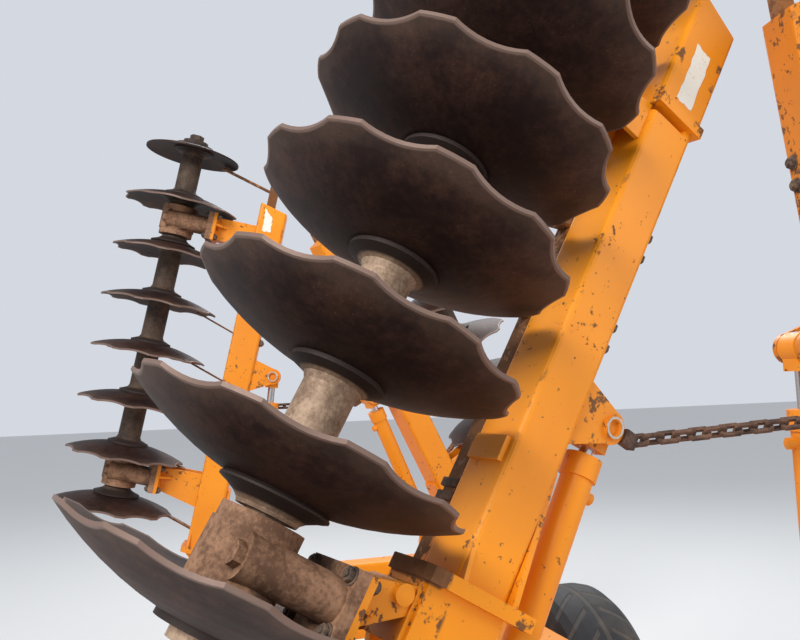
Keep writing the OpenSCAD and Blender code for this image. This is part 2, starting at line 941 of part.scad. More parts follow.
// A flat link along X, its middle at the origin
module link() {
    half = link_pitch / 2 - 0.2;
    over = half + link_wire;
    side = 7 + link_wire;
    translate([0, 0, -link_wire / 2])
    linear_extrude(link_wire)
    difference() {
        polygon([
            [-over + 6, -side], [over - 6, -side], [over, -side + 6], [over, side - 6],
            [over - 6, side], [-over + 6, side], [-over, side - 6], [-over, -side + 6]
        ]);
        square([2 * half, 14], center = true);
    }
}

// Links from point a to point b, with a block at the far end
module chain_run(a, b) {
    run = b - a;
    flat = sqrt(run[0] * run[0] + run[1] * run[1]);
    count = floor(norm(run) / link_pitch);
    machine()
    translate(a)
    rotate([0, 0, atan2(run[1], run[0])])
    rotate([0, -atan2(run[2], flat), 0]) {
        for (i = [0:count - 1])
            translate([(i + 0.5) * link_pitch, 0, 0])
            rotate([i % 2 == 0 ? 45 : 135, 0, 0])
            link();
        translate([count * link_pitch, 0, 0]) box([-9, 30], [-17, 17], [-17, 17]);
    }
}

// Shackle on top of an ear, which the chain starts from
module shackle(wing, side) {
    near = min(side * ear_y, side * (ear_y + ear_t + 8));
    folded(wing)
    box(
        [ram_eye_along - 16, ram_eye_along + 16],
        [near, near + ear_t + 8],
        [ear_top + seat, ear_top + 34]
    );
}

module front_chain() {
    color(rust) {
        shackle(FRONT_RIGHT, 1);
        chain_run(
            wing_point(FRONT_RIGHT, ram_eye_along, ear_y + ear_t / 2, ear_top + 26),
            wing_point(FRONT_LEFT, chain_far_u, chain_far_y, chain_far_z)
        );
    }
}

module rear_chain() {
    color(rust) {
        shackle(REAR_LEFT, -1);
        chain_run(
            wing_point(REAR_LEFT, ram_eye_along, -ear_y - ear_t / 2, ear_top + 26),
            wing_point(REAR_RIGHT, chain_far_u, -chain_far_y, chain_far_z)
        );
    }
}

rail(-1);  // rail_right
rail(1);  // rail_left
front_cross();
rear_cross();
middle_cross();
drawbar_arm(-1);  // drawbar_right
drawbar_arm(1);  // drawbar_left
drawbar_nose();
hitch_eye();
jack_tube();
jack_leg();
wheel_shaft();
wheel_arm(-1);  // wheel_arm_right
wheel_arm(1);  // wheel_arm_left
lift_barrel();
lift_rod();
rim(-1);  // rim_right
rim(1);  // rim_left
tyre(-1);  // tyre_right
tyre(1);  // tyre_left
wing_beam(FRONT_RIGHT);  // front_right_beam
wing_arms(FRONT_RIGHT);  // front_right_arms
wing_bearings(FRONT_RIGHT);  // front_right_bearings
wing_scrapers(FRONT_RIGHT);  // front_right_scrapers
gang_discs(FRONT_RIGHT);  // front_right_discs
gang_spools(FRONT_RIGHT);  // front_right_spools
wing_barrel(FRONT_RIGHT);  // front_right_barrel
wing_rod(FRONT_RIGHT);  // front_right_rod
wing_beam(FRONT_LEFT);  // front_left_beam
wing_arms(FRONT_LEFT);  // front_left_arms
wing_bearings(FRONT_LEFT);  // front_left_bearings
wing_scrapers(FRONT_LEFT);  // front_left_scrapers
gang_discs(FRONT_LEFT);  // front_left_discs
gang_spools(FRONT_LEFT);  // front_left_spools
wing_barrel(FRONT_LEFT);  // front_left_barrel
wing_rod(FRONT_LEFT);  // front_left_rod
wing_beam(REAR_RIGHT);  // rear_right_beam
wing_arms(REAR_RIGHT);  // rear_right_arms
wing_bearings(REAR_RIGHT);  // rear_right_bearings
wing_scrapers(REAR_RIGHT);  // rear_right_scrapers
gang_discs(REAR_RIGHT);  // rear_right_discs
gang_spools(REAR_RIGHT);  // rear_right_spools
wing_barrel(REAR_RIGHT);  // rear_right_barrel
wing_rod(REAR_RIGHT);  // rear_right_rod
wing_beam(REAR_LEFT);  // rear_left_beam
wing_arms(REAR_LEFT);  // rear_left_arms
wing_bearings(REAR_LEFT);  // rear_left_bearings
wing_scrapers(REAR_LEFT);  // rear_left_scrapers
gang_discs(REAR_LEFT);  // rear_left_discs
gang_spools(REAR_LEFT);  // rear_left_spools
wing_barrel(REAR_LEFT);  // rear_left_barrel
wing_rod(REAR_LEFT);  // rear_left_rod
front_chain();
rear_chain();
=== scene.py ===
"""Looks of a folding disc harrow: finishes, fittings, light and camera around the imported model."""

import json
import logging
import math
import random
from dataclasses import dataclass, field
from enum import Enum
from typing import Optional, Sequence, Union

import bpy
from mathutils import Matrix, Vector


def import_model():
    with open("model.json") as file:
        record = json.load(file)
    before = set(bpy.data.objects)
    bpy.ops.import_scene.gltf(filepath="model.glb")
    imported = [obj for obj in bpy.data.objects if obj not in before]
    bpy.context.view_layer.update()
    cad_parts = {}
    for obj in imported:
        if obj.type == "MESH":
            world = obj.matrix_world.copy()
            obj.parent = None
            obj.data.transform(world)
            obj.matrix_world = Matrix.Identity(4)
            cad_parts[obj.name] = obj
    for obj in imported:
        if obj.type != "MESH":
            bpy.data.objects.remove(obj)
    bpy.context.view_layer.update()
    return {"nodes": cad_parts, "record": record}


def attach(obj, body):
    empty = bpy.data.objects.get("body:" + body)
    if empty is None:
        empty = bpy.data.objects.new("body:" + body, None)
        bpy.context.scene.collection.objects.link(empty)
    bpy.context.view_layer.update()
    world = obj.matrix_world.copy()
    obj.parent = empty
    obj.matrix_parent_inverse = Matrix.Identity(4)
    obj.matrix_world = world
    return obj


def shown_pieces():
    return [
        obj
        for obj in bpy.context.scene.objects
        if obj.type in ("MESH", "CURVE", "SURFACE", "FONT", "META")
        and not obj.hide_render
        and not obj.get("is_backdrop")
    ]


LOG = logging.getLogger("harrow")
# Seed of the stickers' ragged edges
SEED = 7
# How far a bolt's washer is sunk into its seat
SUNK = 0.0005
# Radius of a fold ram's rod, and of the lift ram's
RAM_ROD_R = 0.016
LIFT_ROD_R = 0.022
# The angle past which an edge gets a bevel, and the one past which it stays sharp in the shading
BEVEL_ANGLE = math.radians(40)
SHARP_ANGLE = math.radians(30)
# A face is the top one if its normal points up by more than this and it lies nearer the top than this
LEVEL = 0.99
SAME_HEIGHT = 1e-5
# Half the distance between the two collars of a scraper clamp
COLLAR_HALF = 0.014
# How far a sticker stands proud of the paint, how ragged its edge is and its number of points
STICKER_PROUD = 0.0006
STICKER_RAGGED = 0.0025
STICKER_POINTS = 40
# Corners of what is left of the stickers, along the beam and over it
NEAR_STICKER = ((1.773, -0.089), (1.767, -0.040), (1.617, -0.038), (1.617, -0.088))
FAR_STICKER = ((1.646, -0.099), (1.604, -0.058), (1.540, -0.055), (1.539, -0.094))
# Sockets of the Mix node that take and give colours
MIX_SHARE = 0
MIX_LOW = 6
MIX_HIGH = 7
MIX_RESULT = 2

Number = Union[int, float]
Colour = tuple[float, float, float]
Triple = tuple[float, float, float]
AnyColour = Union[Colour, bpy.types.NodeSocket]


class Wing(Enum):
    """The four wings, by the name that their pieces start with."""

    FRONT_RIGHT = "front_right"
    FRONT_LEFT = "front_left"
    REAR_RIGHT = "rear_right"
    REAR_LEFT = "rear_left"

    @property
    def front(self) -> bool:
        """Whether the wing is one of the front two."""
        return self in (Wing.FRONT_RIGHT, Wing.FRONT_LEFT)

    @property
    def left(self) -> bool:
        """Whether the wing is one of the left two."""
        return self in (Wing.FRONT_LEFT, Wing.REAR_LEFT)


@dataclass(frozen=True)
class GangAxis:
    """The axis of a gang in the row frame, with two directions across it."""

    start: Vector
    along: Vector
    across: Vector
    down: Vector


@dataclass(frozen=True)
class Layout:
    """Where the machine's wings and wheels are, in metres, in the row frame."""

    # The fold pins: from the front pair to the rear pair, from right to left, their height and turn
    hinge_gap: float = 2.510
    hinge_track: float = 1.220
    hinge_height: float = 0.810
    gang_angle: float = math.radians(12)
    # How far the middle of the fold pins is from the middle of the whole machine
    shift_x: float = -0.750
    shift_y: float = -0.0308
    # The beams: their width, where they start, and how far the long one's extension stands out
    beam_w: float = 0.125
    front_foot: float = 0.492
    rear_foot: float = 0.100
    extension_over: float = 0.007
    # The gangs: their axis over the beam, their discs, and the gaps that the bearings are in
    gang_z: float = -0.478
    first_disc: float = 0.250
    disc_pitch: float = 0.2286
    disc_count: int = 8
    front_disc_r: float = 0.305
    rear_disc_r: float = 0.255
    bearing_gaps: tuple[int, int] = (0, 5)
    # How far each disc is turned past the last one, and the scallops in its rim
    disc_turn: float = math.radians(11)
    scallops: int = 10
    scallop_depth: float = 0.015
    scallop_r: float = 0.240
    # The ram's pin along the beam and over it
    eye_along: float = 0.900
    eye_over: float = 0.090
    # The bearings' flanges over the gang's axis
    flange_z: float = 0.168
    flange_t: float = 0.024
    # A road wheel's middle: along the machine, beside its middle plane, and over the ground
    wheel_x: float = -0.950
    wheel_y: float = 0.590
    wheel_z: float = 0.422

    def lean(self, wing: Wing) -> float:
        """How far a wing leans past upright.

        Args:
            wing: The wing.

        Returns:
            The lean in radians.
        """
        leans = {
            Wing.FRONT_RIGHT: 31,
            Wing.FRONT_LEFT: 8,
            Wing.REAR_RIGHT: 13,
            Wing.REAR_LEFT: 28,
        }
        return math.radians(leans[wing])

    def disc_radius(self, wing: Wing) -> float:
        """The radius of a wing's discs.

        Args:
            wing: The wing.

        Returns:
            The radius in metres.
        """
        return self.front_disc_r if wing.front else self.rear_disc_r

    def hollow(self, wing: Wing) -> int:
        """Which way a wing's discs are hollow.

        Args:
            wing: The wing.

        Returns:
            1 outward along the beam, -1 towards the fold pin.
        """
        return 1 if wing.front else -1

    def foot(self, wing: Wing) -> float:
        """Where a wing's beam starts.

        Args:
            wing: The wing.

        Returns:
            The distance from the fold pin in metres.
        """
        return self.front_foot if wing.front else self.rear_foot

    def bearings(self) -> tuple[float, float]:
        """Where the two bearings of a gang are.

        Returns:
            Their distances along the beam in metres.
        """
        return tuple(self.first_disc + (gap + 0.5) * self.disc_pitch for gap in self.bearing_gaps)

    def wheel(self, side: int) -> Vector:
        """The middle of a road wheel.

        Args:
            side: 1 on the left, -1 on the right.

        Returns:
            The point in the row frame.
        """
        return Vector((self.wheel_x, self.shift_y + side * self.wheel_y, self.wheel_z))

    def matrix(self, wing: Wing) -> Matrix:
        """The folded place of a wing.

        Args:
            wing: The wing.

        Returns:
            A matrix from the wing's own axes (along the beam, along the fold pin, up from the
            beam) to the row frame.
        """
        end = 1 if wing.front else -1
        side = 1 if wing.left else -1
        turn = Matrix.Rotation(-math.pi / 2 + end * self.gang_angle, 4, "Z")
        fold = Matrix.Rotation(-(math.pi / 2 + self.lean(wing)), 4, "Y")
        place = Matrix.Translation((end * self.hinge_gap / 2, -self.hinge_track / 2, self.hinge_height))
        mirror = Matrix.Diagonal((1, -side, 1, 1))
        shift = Matrix.Translation((self.shift_x, self.shift_y, 0))
        return shift @ mirror @ place @ turn @ fold

    def point(self, wing: Wing, u: float, y: float, z: float) -> Vector:
        """A point of a folded wing.

        Args:
            wing: The wing.
            u: Distance along the beam, from the fold pin.
            y: Distance along the fold pin, forward.
            z: Height over the beam.

        Returns:
            The point in the row frame.
        """
        return self.matrix(wing) @ Vector((u, y, z))

    def axis(self, wing: Wing) -> GangAxis:
        """The axis of a wing's gang.

        Args:
            wing: The wing.

        Returns:
            The axis in the row frame.
        """
        start = self.point(wing, 0, 0, self.gang_z)
        steps = ((1, 0, self.gang_z), (0, 1, self.gang_z), (0, 0, self.gang_z - 1))
        return GangAxis(start, *((self.point(wing, *step) - start).normalized() for step in steps))


LAYOUT = Layout()


def add_node(
    tree: bpy.types.NodeTree,
    kind: str,
    settings: dict[str, str],
    inputs: dict[Union[int, str], object],
) -> bpy.types.Node:
    """Adds a shader node.

    Args:
        tree: The node tree that it goes into.
        kind: Its type, without the leading ShaderNode.
        settings: What is set on the node itself, before its sockets.
        inputs: The value or link of each socket, by the socket's name or number.

    Returns:
        The node.
    """
    node = tree.nodes.new("ShaderNode" + kind)
    for name, value in settings.items():
        setattr(node, name, value)
    for slot, value in inputs.items():
        if isinstance(value, Sock):
            tree.links.new(value.socket, node.inputs[slot])
        elif isinstance(value, bpy.types.NodeSocket):
            tree.links.new(value, node.inputs[slot])
        else:
            node.inputs[slot].default_value = value
    return node


class Sock:
    """A shader value with plain arithmetic."""

    def __init__(self, tree: bpy.types.NodeTree, socket: bpy.types.NodeSocket) -> None:
        """Wraps an output socket.

        Args:
            tree: The node tree that the socket is in.
            socket: The output socket.
        """
        self.tree = tree
        self.socket = socket

    def _math(self, kind: str, *values: Union["Sock", Number]) -> "Sock":
        """Adds a Math node.

        Args:
            kind: Its operation.
            values: What goes into it.

        Returns:
            Its result.
        """
        node = add_node(self.tree, "Math", {"operation": kind}, dict(enumerate(values)))
        return Sock(self.tree, node.outputs[0])

    def __add__(self, other: Union["Sock", Number]) -> "Sock":
        """Adds."""
        return self._math("ADD", self, other)

    def __radd__(self, other: Number) -> "Sock":
        """Adds, from the right."""
        return self._math("ADD", other, self)

    def __sub__(self, other: Union["Sock", Number]) -> "Sock":
        """Subtracts."""
        return self._math("SUBTRACT", self, other)

    def __rsub__(self, other: Number) -> "Sock":
        """Subtracts from a number."""
        return self._math("SUBTRACT", other, self)

    def __mul__(self, other: Union["Sock", Number]) -> "Sock":
        """Multiplies."""
        return self._math("MULTIPLY", self, other)

    def __rmul__(self, other: Number) -> "Sock":
        """Multiplies, from the right."""
        return self._math("MULTIPLY", other, self)

    def __truediv__(self, other: Union["Sock", Number]) -> "Sock":
        """Divides."""
        return self._math("DIVIDE", self, other)

    def __rtruediv__(self, other: Number) -> "Sock":
        """Divides a number."""
        return self._math("DIVIDE", other, self)

    def size(self) -> "Sock":
        """Drops the sign."""
        return self._math("ABSOLUTE", self)

    def whole(self) -> "Sock":
        """Rounds down."""
        return self._math("FLOOR", self)

    def root(self) -> "Sock":
        """Takes the square root."""
        return self._math("SQRT", self)

    def cosine(self) -> "Sock":
        """Takes the cosine."""
        return self._math("COSINE", self)

    def sine(self) -> "Sock":
        """Takes the sine."""
        return self._math("SINE", self)

    def least(self, other: Union["Sock", Number]) -> "Sock":
        """Takes the smaller of two values."""
        return self._math("MINIMUM", self, other)

    def fraction(self) -> "Sock":
        """Keeps what is past the last whole number."""
        return self._math("FRACT", self)

    def angle(self, across: "Sock") -> "Sock":
        """The angle in radians at which a point with these two coordinates lies."""
        return self._math("ARCTAN2", self, across)

    def clamp(self) -> "Sock":
        """Keeps the value between 0 and 1."""
        return self._math("MAXIMUM", self, 0.0).least(1.0)

    def ramp(self, low: float, high: float) -> "Sock":
        """Goes smoothly from 0 to 1.

        Args:
            low: Where the result is 0.
            high: Where the result is 1, also below low.

        Returns:
            The smooth step.
        """
        flipped = high < low
        sockets = {
            "Value": self,
            "From Min": min(low, high),
            "From Max": max(low, high),
            "To Min": 1.0 if flipped else 0.0,
            "To Max": 0.0 if flipped else 1.0,
        }
        node = add_node(self.tree, "MapRange", {"interpolation_type": "SMOOTHSTEP"}, sockets)
        return Sock(self.tree, node.outputs["Result"])


class Shader:
    """One procedural material, built on the object's own coordinates."""

    def __init__(self, name: str) -> None:
        """Starts a material with one Principled surface.

        Args:
            name: The material's name.
        """
        self.material = bpy.data.materials.new(name)
        self.material.use_nodes = True
        self.tree = self.material.node_tree
        self.tree.nodes.clear()
        self.surface = add_node(self.tree, "BsdfPrincipled", {}, {})
        add_node(self.tree, "OutputMaterial", {}, {"Surface": self.surface.outputs[0]})
        self.place = add_node(self.tree, "TexCoord", {}, {}).outputs["Object"]

    def noise(self, scale: float, detail: float = 3.0, rough: float = 0.55) -> Sock:
        """Cloudy noise.

        Args:
            scale: How many clouds to a metre.
            detail: How many finer layers.
            rough: How strong the finer layers are.

        Returns:
            The noise, about 0.5 in the middle.
        """
        sockets = {"Scale": scale, "Detail": detail, "Roughness": rough, "Vector": self.place}
        return Sock(self.tree, add_node(self.tree, "TexNoise", {}, sockets).outputs["Fac"])

    def cells(self, scale: float) -> Sock:
        """Distance to the nearest of many scattered points.

        Args:
            scale: How many points to a metre.

        Returns:
            The distance, in cells.
        """
        node = add_node(self.tree, "TexVoronoi", {}, {"Scale": scale, "Vector": self.place})
        return Sock(self.tree, node.outputs["Distance"])

    def vector(self, kind: str, *values: Union[bpy.types.NodeSocket, Vector]) -> bpy.types.Node:
        """Adds a Vector Math node.

        Args:
            kind: Its operation.
            values: What goes into it.

        Returns:
            The node.
        """
        return add_node(self.tree, "VectorMath", {"operation": kind}, dict(enumerate(values)))

    def along(self, start: Vector, way: Vector) -> Sock:
        """How far a point lies along a direction.

        Args:
            start: Where the distance is 0.
            way: The direction, of unit length.

        Returns:
            The distance in metres.
        """
        return Sock(self.tree, self.vector("DOT_PRODUCT", self.place, way).outputs["Value"]) - start.dot(way)

    def radius(self, start: Vector, along: Vector) -> Sock:
        """Distance from a line.

        Args:
            start: A point of the line.
            along: The line's direction, of unit length.

        Returns:
            The distance in metres.
        """
        moved = self.vector("SUBTRACT", self.place, start)
        crossed = self.vector("CROSS_PRODUCT", moved.outputs[0], along)
        return Sock(self.tree, self.vector("LENGTH", crossed.outputs[0]).outputs["Value"])

    def mix(self, share: Sock, low: AnyColour, high: AnyColour) -> bpy.types.NodeSocket:
        """Blends two colours.

        Args:
            share: 0 for the first colour, 1 for the second.
            low: The first colour.
            high: The second colour.

        Returns:
            The blend's output socket.
        """
        sockets = {MIX_SHARE: share, MIX_LOW: opaque(low), MIX_HIGH: opaque(high)}
        return add_node(self.tree, "Mix", {"data_type": "RGBA"}, sockets).outputs[MIX_RESULT]

    def finish(
        self,
        colour: AnyColour,
        rough: Union[Sock, float],
        metal: Union[Sock, float] = 0.0,
        bump: Optional[Sock] = None,
        depth: float = 0.001,
        gloss: float = 0.5,
    ) -> bpy.types.Material:
        """Sets the surface.

        Args:
            colour: The base colour.
            rough: The roughness.
            metal: How metallic it is.
            bump: A height for small relief.
            depth: The relief's depth in metres.
            gloss: How strongly it mirrors what is around it, 0.5 for bare plastic.

        Returns:
            The material.
        """
        self.surface.inputs["Specular IOR Level"].default_value = gloss
        for name, value in (("Base Color", opaque(colour)), ("Roughness", rough), ("Metallic", metal)):
            if isinstance(value, Sock):
                self.tree.links.new(value.socket, self.surface.inputs[name])
            elif isinstance(value, bpy.types.NodeSocket):
                self.tree.links.new(value, self.surface.inputs[name])
            else:
                self.surface.inputs[name].default_value = value
        if bump is not None:
            node = add_node(self.tree, "Bump", {}, {"Distance": depth, "Strength": 0.6, "Height": bump})
            self.tree.links.new(node.outputs[0], self.surface.inputs["Normal"])
        return self.material


def opaque(colour: AnyColour) -> Union[bpy.types.NodeSocket, tuple[float, float, float, float]]:
    """Gives a plain colour its fourth value.

    Args:
        colour: A colour, or a socket that brings one.

    Returns:
        The colour with full opacity, or the socket as it is.
    """
    return colour if isinstance(colour, bpy.types.NodeSocket) else (*colour, 1.0)


@dataclass(frozen=True)
class Paint:
    """Sprayed paint with rust that comes through in specks and patches."""

    name: str
    colour: Colour
    faded: Colour
    wear: float
    specks: float = 0.5
    rust_dark: Colour = (0.10, 0.038, 0.014)
    rust_light: Colour = (0.26, 0.11, 0.04)
    dust: Colour = (0.42, 0.30, 0.17)
    polished: Colour = (0.62, 0.61, 0.60)
    depth: float = 0.0006
    gloss: float = 0.28

    def chips(self, s: Shader) -> Optional[Sock]:
        """Where the paint has come off besides.

        Args:
            s: The material that is being built.

        Returns:
            1 where it is bare, or None.
        """
        return None

    def bright(self, s: Shader) -> Optional[Sock]:
        """Where the part is polished and was never painted.

        Args:
            s: The material that is being built.

        Returns:
            1 where it is polished, or None.
        """
        return None

    def build(self) -> bpy.types.Material:
        """Builds the material.

        Returns:
            The material.
        """
        s = Shader(self.name)
        base = s.mix(s.noise(2.2, 4.0).ramp(0.35, 0.7), self.colour, self.faded)
        grain = s.noise(45.0, 5.0, 0.7)
        patch = s.noise(3.5, 4.0, 0.6)
        small = (grain + patch * 0.55).ramp(1.02 - self.wear, 1.06 - self.wear)
        dots = s.cells(38.0).ramp(0.17 * self.specks, 0.05) * s.noise(9.0).ramp(0.45, 0.6)
        rust = small + dots
        extra = self.chips(s)
        if extra is not None:
            rust = rust + extra
        rust = rust.clamp()
        worn = s.mix(rust, base, s.mix(s.noise(60.0, 3.0), self.rust_dark, self.rust_light))
        dust = s.noise(1.6, 3.0).ramp(0.4, 0.75) * 0.10
        colour = s.mix(dust, worn, self.dust)
        rough = 0.42 + rust * 0.40 + dust * 0.8
        relief = 1.0 - rust + grain * 0.15
        bright = self.bright(s)
        if bright is None:
            return s.finish(colour, rough, 0.0, relief, self.depth, self.gloss)
        colour = s.mix(bright, colour, self.polished)
        rough = rough * (1.0 - bright) + bright * 0.22
        return s.finish(colour, rough, bright, relief * (1.0 - bright), self.depth, self.gloss)


@dataclass(frozen=True)
class BeamPaint(Paint):
    """Paint of a wing's beam, chipped along its edges and bare at its foot plate's low end."""

    wing: Wing = Wing.FRONT_RIGHT

    def chips(self, s: Shader) -> Optional[Sock]:
        """Where the paint has come off besides.

        Args:
            s: The material that is being built.

        Returns:
            1 where it is bare.
        """
        start = LAYOUT.point(self.wing, 0, 0, 0)
        ways = [LAYOUT.point(self.wing, *step) - start for step in ((1, 0, 0), (0, 1, 0), (0, 0, 1))]
        along, across, over = (s.along(start, way) for way in ways)
        half = LAYOUT.beam_w / 2
        corner = across.size() + (over + half).size()
        edge = corner.ramp(2 * half - 0.012, 2 * half - 0.003) * s.noise(24.0, 4.0, 0.7).ramp(0.54, 0.62)
        foot = LAYOUT.foot(self.wing)
        plate = along.ramp(foot - 0.036, foot - 0.030) * along.ramp(foot + 0.008, foot + 0.002)
        low = (over + (s.noise(26.0, 4.0) - 0.5) * 0.03).ramp(-0.142, -0.152)
        return edge + plate * low


@dataclass(frozen=True)
class RodPaint(Paint):
    """A ram's painted eye block with its polished rod."""

    start: Triple = (0.0, 0.0, 0.0)
    way: Triple = (0.0, 0.0, 1.0)
    rod_r: float = RAM_ROD_R

    def bright(self, s: Shader) -> Optional[Sock]:
        """Where the part is polished and was never painted.

        Args:
            s: The material that is being built.

        Returns:
            1 on the rod.
        """
        r = s.radius(Vector(self.start), Vector(self.way).normalized())
        return r.ramp(self.rod_r + 0.0015, self.rod_r + 0.0008)


@dataclass(frozen=True)
class Rust:
    """Bare iron that has rusted all over."""

    name: str
    dark: Colour
    light: Colour
    scale: float = 14.0

    def build(self) -> bpy.types.Material:
        """Builds the material.

        Returns:
            The material.
        """
        s = Shader(self.name)
        cloud = s.noise(self.scale, 6.0, 0.65)
        fine = s.noise(self.scale * 8, 4.0, 0.7)
        colour = s.mix((cloud * 0.7 + fine * 0.3).ramp(0.38, 0.62), self.dark, self.light)
        return s.finish(colour, 0.72 + fine * 0.2, 0.15, fine + cloud * 0.5, 0.0008)


@dataclass(frozen=True)
class DiscIron:
    """Dark rusted disc iron with a paler lip that follows the scallops."""

    name: str
    wing: Wing
    lip_width: float = 0.006
    dark: Colour = (0.018, 0.0075, 0.006)
    brown: Colour = (0.064, 0.027, 0.017)
    grit: Colour = (0.17, 0.075, 0.045)
    soil: Colour = (0.13, 0.085, 0.06)
    lip: Colour = (0.21, 0.135, 0.105)

    def build(self) -> bpy.types.Material:
        """Builds the material.

        Returns:
            The material.
        """
        s = Shader(self.name)
        axis = LAYOUT.axis(self.wing)
        r = s.radius(axis.start, axis.along)
        inside = self.to_rim(s, r)
        cloud = s.noise(7.0, 6.0, 0.65)
        fine = s.noise(70.0, 5.0, 0.7)
        iron = s.mix((cloud * 0.6 + fine * 0.4).ramp(0.4, 0.66), self.dark, self.brown)
        grit = s.noise(230.0, 3.0, 0.6).ramp(0.60, 0.72) * cloud.ramp(0.42, 0.62)
        gritty = s.mix(grit * 0.6, iron, self.grit)
        soil = (r * (1.0 / LAYOUT.disc_radius(self.wing)) + (cloud - 0.5) * 0.3).ramp(0.80, 1.05)
        dusty = s.mix(soil * 0.4, gritty, self.soil)
        lip = (inside + (fine - 0.5) * 0.003).ramp(self.lip_width, self.lip_width * 0.35)
        colour = s.mix(lip * 0.8, dusty, self.lip)
        rough = 0.55 - lip * 0.12 + fine * 0.15
        return s.finish(colour, rough, 0.25, fine + cloud * 0.4, 0.0006, 0.3)

    def to_rim(self, s: Shader, r: Sock) -> Sock:
        """How far a point lies inside the scalloped rim.

        Args:
            s: The material that is being built.
            r: The distance from the gang's axis.

        Returns:
            The distance in metres.
        """
        axis = LAYOUT.axis(self.wing)
        radius = LAYOUT.disc_radius(self.wing)
        number = ((s.along(axis.start, axis.along) - LAYOUT.first_disc) / LAYOUT.disc_pitch + 0.5).whole()
        turn = s.along(axis.start, axis.across).angle(s.along(axis.start, axis.down))
        turn = turn - number * LAYOUT.disc_turn
        part = math.tau / LAYOUT.scallops
        off = ((turn * (1.0 / part)).fraction() - 0.5) * part
        out = off.cosine() * r - (radius + LAYOUT.scallop_r - LAYOUT.scallop_depth)
        side = off.sine() * r
        hollow = (out * out + side * side).root() - LAYOUT.scallop_r
        return hollow.least(radius - r)


@dataclass(frozen=True)
class SpoolIron:
    """Lighter rusted iron of the spools, with dark washers."""

    name: str
    wing: Wing
    shades: tuple[Colour, Colour]
    washer: Colour = (0.034, 0.020, 0.015)
    spool_r: float = 0.060

    def build(self) -> bpy.types.Material:
        """Builds the material.

        Returns:
            The material.
        """
        s = Shader(self.name)
        axis = LAYOUT.axis(self.wing)
        washer = s.radius(axis.start, axis.along).ramp(self.spool_r, self.spool_r + 0.008)
        cloud = s.noise(16.0, 6.0, 0.65)
        fine = s.noise(120.0, 4.0, 0.7)
        iron = s.mix((cloud * 0.6 + fine * 0.4).ramp(0.38, 0.62), *self.shades)
        colour = s.mix(washer, iron, self.washer)
        return s.finish(colour, 0.55 + fine * 0.25, 0.3, fine + cloud * 0.5, 0.0008)


@dataclass(frozen=True)
class Metal:
    """Bare bright metal with dull smears."""

    name: str
    colour: Colour
    rough: float
    dull: Colour = (0.25, 0.2, 0.16)

    def build(self) -> bpy.types.Material:
        """Builds the material.

        Returns:
            The material.
        """
        s = Shader(self.name)
        smear = s.noise(30.0, 3.0)
        colour = s.mix(smear.ramp(0.5, 0.8) * 0.4, self.colour, self.dull)
        return s.finish(colour, self.rough + smear * 0.15, 1.0)


@dataclass(frozen=True)
class TyreRubber:
    """Rubber of a road tyre, with slanted grooves in its tread."""

    name: str
    side: int
    grooves: int = 26
    slant: float = 9.0
    black: Colour = (0.014, 0.014, 0.015)
    soil: Colour = (0.15, 0.125, 0.10)
    depth: float = 0.012

    def build(self) -> bpy.types.Material:
        """Builds the material.

        Returns:
            The material.
        """
        s = Shader(self.name)
        hub = LAYOUT.wheel(self.side)
        ahead = s.along(hub, Vector((1, 0, 0)))
        across = s.along(hub, Vector((0, 1, 0))).size()
        up = s.along(hub, Vector((0, 0, 1)))
        r = s.radius(hub, Vector((0, 1, 0)))
        turn = up.angle(ahead) * (self.grooves / math.tau)
        slit = ((turn + across * self.slant).fraction() - 0.5).size().ramp(0.36, 0.42)
        middle = across.ramp(0.012, 0.008)
        tread = r.ramp(LAYOUT.wheel_z - 0.040, LAYOUT.wheel_z - 0.028)
        groove = (slit * across.ramp(0.020, 0.030) + middle).clamp() * tread
        soil = (s.noise(5.0, 5.0, 0.65).ramp(0.42, 0.72) * 0.5 + groove * 0.3).clamp()
        colour = s.mix(soil, self.black, self.soil)
        return s.finish(colour, 0.62 + soil * 0.3, 0.0, 1.0 - groove, self.depth)


@dataclass(frozen=True)
class Paper:
    """What is left of a white sticker, with scratches where the paint shows through."""

    name: str
    white: Colour = (0.80, 0.76, 0.66)
    scratch: Colour = (0.70, 0.30, 0.05)

    def build(self) -> bpy.types.Material:
        """Builds the material.

        Returns:
            The material.
        """
        s = Shader(self.name)
        scratch = s.noise(90.0, 5.0, 0.75).ramp(0.60, 0.66)
        return s.finish(s.mix(scratch, self.white, self.scratch), 0.7)


AnyFinish = Union[Paint, Rust, DiscIron, SpoolIron, Metal, TyreRubber, Paper]


@dataclass
class Finishes:
    """All materials, made once."""

    made: dict[str, bpy.types.Material] = field(default_factory=dict)

    def get(self, finish: AnyFinish) -> bpy.types.Material:
        """The material of a finish.

        Args:
            finish: The finish.

        Returns:
            The material, built on first use.
        """
        if finish.name not in self.made:
            self.made[finish.name] = finish.build()
        return self.made[finish.name]


ORANGE = Paint("orange_paint", (0.86, 0.285, 0.006), (0.76, 0.235, 0.008), 0.10)
# The front left beam's paint: a darker orange, with more wear
DARKER_ORANGE = (0.62, 0.19, 0.012)
OLD_WEAR = 0.17
WORN = Paint("worn_paint", (0.36, 0.14, 0.03), (0.20, 0.085, 0.03), 0.30, 0.9)
HUB = Rust("hub_rust", (0.15, 0.072, 0.038), (0.40, 0.215, 0.12))
# Rust of the scraper clamps, darker than the hubs' rust as painted shade under the discs
CLAMP_RUST_AND_PAINTED_SHADE = Rust("clamp_rust_and_painted_shade", (0.05, 0.026, 0.017), (0.16, 0.085, 0.05), 24.0)
